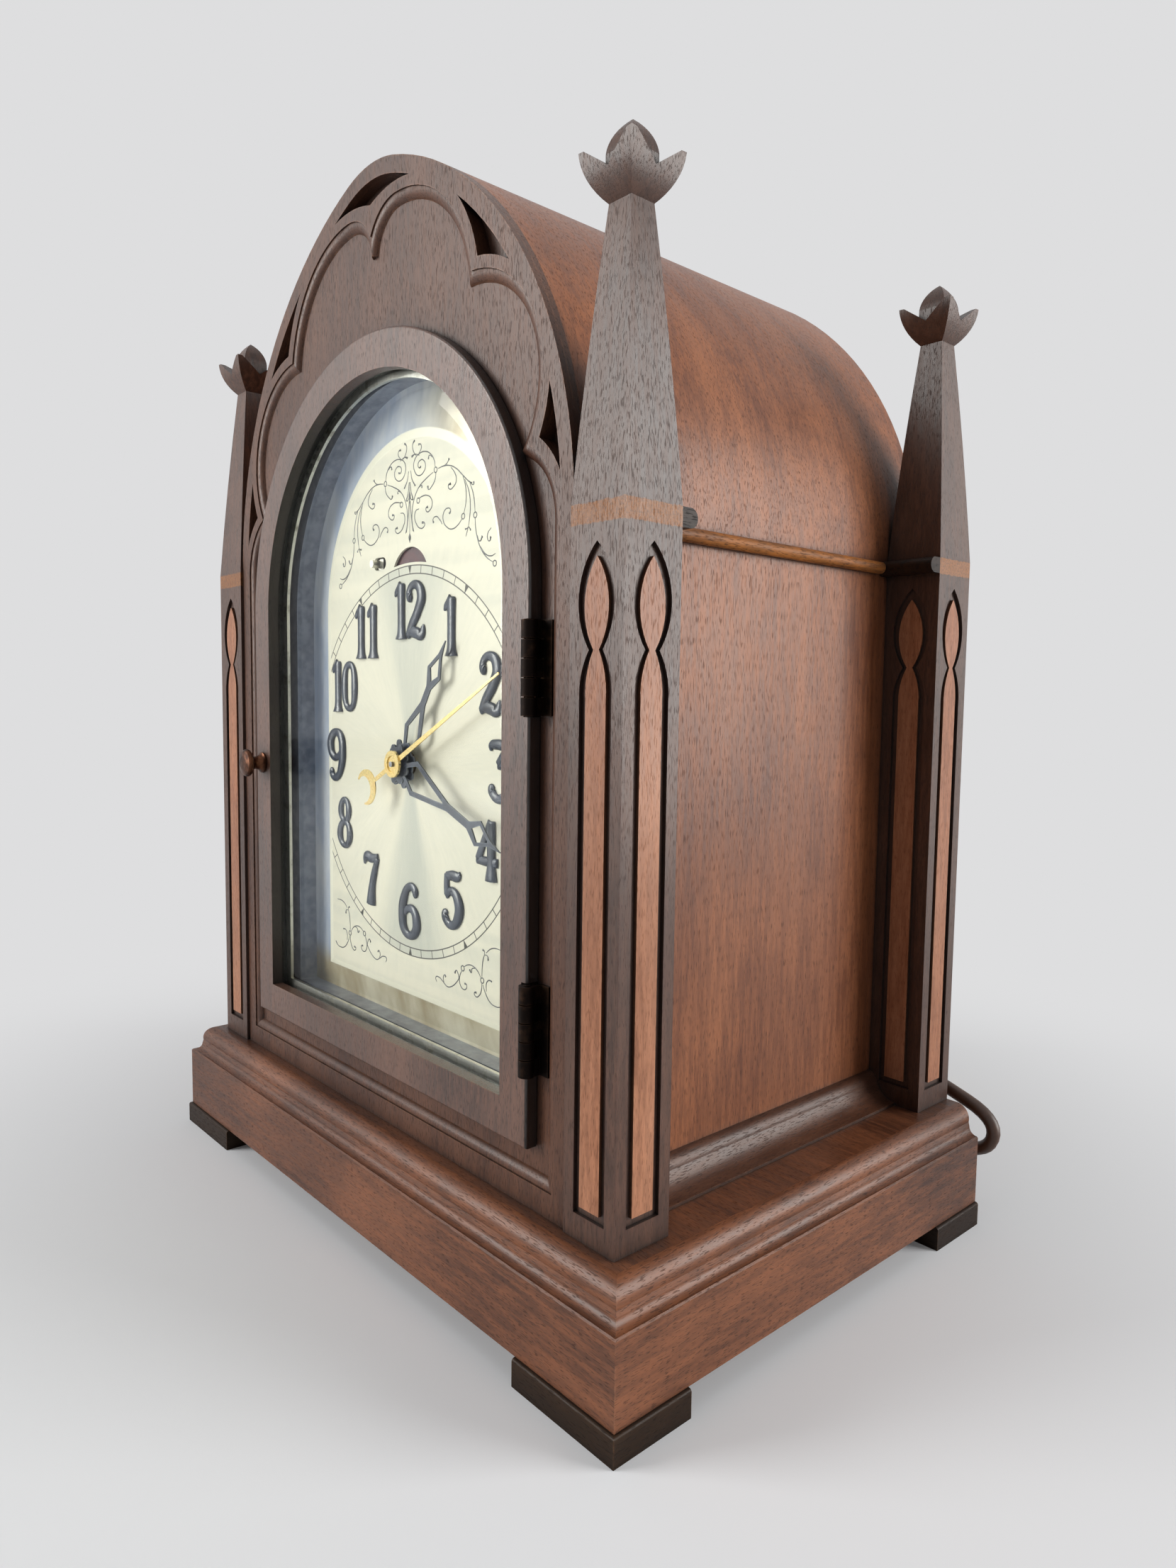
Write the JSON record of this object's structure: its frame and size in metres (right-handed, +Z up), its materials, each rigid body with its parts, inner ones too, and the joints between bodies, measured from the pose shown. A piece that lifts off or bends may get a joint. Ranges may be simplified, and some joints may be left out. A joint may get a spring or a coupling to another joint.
{
  "type": "gothic chime mantel clock",
  "caption": "Arched gothic mantel clock with spired corner posts, traceried front, glazed arched door, silvered dial, chime rods and mains cord",
  "frame": {"origin": "bottom centre of the clock without its cord, on the surface it stands on", "axes": "+Z up, dial faces -Y, hinges of the front door on the +X side"},
  "size_m": [0.2855, 0.3151, 0.3708],
  "materials": {
    "case_wood": "dark walnut lacquer, worn",
    "inlay_wood": "lighter mahogany, satin",
    "rod_wood": "worn golden brown",
    "front_wood": "dark mahogany lacquer",
    "inner_wood": "raw board",
    "glass": "clear bevelled",
    "aged_brass": "aged dark",
    "brass": "polished",
    "hammer_brass": "turned",
    "steel": "plated",
    "dial_silver": "silvered, sunburst brushed",
    "blue_paint": "dark blue grey",
    "flag_red": "matt",
    "coil_wrap": "varnished tape",
    "plug_plastic": "brown moulded",
    "cord_rubber": "brown flex",
    "tie_fabric": "woven strap"
  },
  "bodies": {
    "case": {"back_rail": "inner_wood", "base_plinth": "case_wood", "case_hinge_leaves": "aged_brass", "case_shell": "case_wood", "chime_rods": "steel", "collar_rods": "rod_wood", "cord_bushing": "plug_plastic", "cord_coil": "cord_rubber", "cord_tie": "tie_fabric", "corner_feet": "case_wood", "dial_numerals": "blue_paint", "dial_plate": "dial_silver", "dial_spacer": "inner_wood", "field_coil": "coil_wrap", "field_core": "steel", "frame_pillars": "brass", "front_panel": "front_wood", "hammer_frame": "brass", "hinge_pins": "aged_brass", "machine_screws": "steel", "mains_cord": "cord_rubber", "movement_back_plate": "brass", "movement_front_plate": "brass", "plug_blades": "steel", "plug_body": "plug_plastic", "post_front_left": "case_wood", "post_front_right": "case_wood", "post_inlays": "inlay_wood", "post_rear_left": "case_wood", "post_rear_right": "case_wood", "rod_block": "steel", "rotor_can": "steel", "seat_board": "inner_wood", "seat_cleats": "inner_wood", "side_coves": "case_wood", "tracery_frame": "case_wood"},
    "door": {"door_frame": "front_wood", "door_glass": "glass", "glass_retainer": "steel", "door_knob": "aged_brass", "door_hinge_leaves": "aged_brass"},
    "rear_door": {"back_door": "inner_wood", "back_door_leaves": "aged_brass", "back_knob": "aged_brass"},
    "minute": {"minute_hand": "blue_paint", "minute_arbor": "brass"},
    "hour": {"hour_hand": "blue_paint", "hour_wheel": "brass"},
    "seconds": {"seconds_hand": "brass", "seconds_arbor": "brass"},
    "intermediate": {"intermediate_wheel": "brass"},
    "motion": {"minute_wheel": "brass"},
    "setting": {"set_arbor": "brass"},
    "lever": {"chime_lever": "steel"},
    "flag": {"power_flag": "flag_red"},
    "drum": {"chime_drum": "brass"},
    "hammer_1_body": {"hammer_1": "hammer_brass"},
    "hammer_2_body": {"hammer_2": "hammer_brass"},
    "hammer_3_body": {"hammer_3": "hammer_brass"},
    "hammer_4_body": {"hammer_4": "hammer_brass"}
  },
  "joints": [
    {"name": "door_swing", "type": "hinge", "parent": "case", "child": "door", "pos_m": [0.0904, -0.08215, 0.15], "axis": [0, 0, 1], "range_deg": [0, 110]},
    {"name": "back_door_swing", "type": "hinge", "parent": "case", "child": "rear_door", "pos_m": [-0.0979, 0.09315, 0.14], "axis": [0, 0, 1], "range_deg": [0, 95]},
    {"name": "seconds_turn", "type": "hinge", "parent": "case", "child": "seconds", "pos_m": [0, -0.05645, 0.17], "axis": [0, 1, 0], "continuous": true},
    {"name": "intermediate_turn", "type": "hinge", "parent": "case", "child": "intermediate", "pos_m": [-0.017, -0.03645, 0.17], "axis": [0, 1, 0], "continuous": true},
    {"name": "minute_turn", "type": "hinge", "parent": "case", "child": "minute", "pos_m": [0, -0.05645, 0.17], "axis": [0, 1, 0], "continuous": true},
    {"name": "hour_turn", "type": "hinge", "parent": "case", "child": "hour", "pos_m": [0, -0.06245, 0.17], "axis": [0, 1, 0], "continuous": true},
    {"name": "minute_wheel_turn", "type": "hinge", "parent": "case", "child": "motion", "pos_m": [0.015, -0.05845, 0.17], "axis": [0, 1, 0], "continuous": true},
    {"name": "set_turn", "type": "hinge", "parent": "case", "child": "setting", "pos_m": [0.0225, -0.02645, 0.15701], "axis": [0, 1, 0], "continuous": true},
    {"name": "chime_lever_swing", "type": "hinge", "parent": "case", "child": "lever", "pos_m": [-0.0225, -0.06295, 0.2286], "axis": [0, 1, 0], "range_deg": [0, 15]},
    {"name": "power_flag_swing", "type": "hinge", "parent": "case", "child": "flag", "pos_m": [0, -0.06295, 0.2349], "axis": [0, 1, 0], "range_deg": [0, 60]},
    {"name": "hammer_1_swing", "type": "hinge", "parent": "case", "child": "hammer_1_body", "pos_m": [-0.008, -0.02745, 0.092], "axis": [0, -1, 0], "range_deg": [0, 18]},
    {"name": "hammer_2_swing", "type": "hinge", "parent": "case", "child": "hammer_2_body", "pos_m": [-0.008, -0.01795, 0.092], "axis": [0, -1, 0], "range_deg": [0, 18]},
    {"name": "hammer_3_swing", "type": "hinge", "parent": "case", "child": "hammer_3_body", "pos_m": [-0.008, -0.00845, 0.092], "axis": [0, -1, 0], "range_deg": [0, 18]},
    {"name": "hammer_4_swing", "type": "hinge", "parent": "case", "child": "hammer_4_body", "pos_m": [-0.008, 0.00105, 0.092], "axis": [0, -1, 0], "range_deg": [0, 18]},
    {"name": "chime_drum_turn", "type": "hinge", "parent": "case", "child": "drum", "pos_m": [-0.024, -0.01645, 0.092], "axis": [0, 1, 0], "continuous": true}
  ],
  "couplings": [
    {"joint": "intermediate_turn", "follows": "seconds_turn", "ratio": -0.13333},
    {"joint": "minute_turn", "follows": "seconds_turn", "ratio": 0.016667},
    {"joint": "hour_turn", "follows": "seconds_turn", "ratio": 0.0013889},
    {"joint": "minute_wheel_turn", "follows": "seconds_turn", "ratio": -0.0055556},
    {"joint": "set_turn", "follows": "seconds_turn", "ratio": 0.016667}
  ]
}
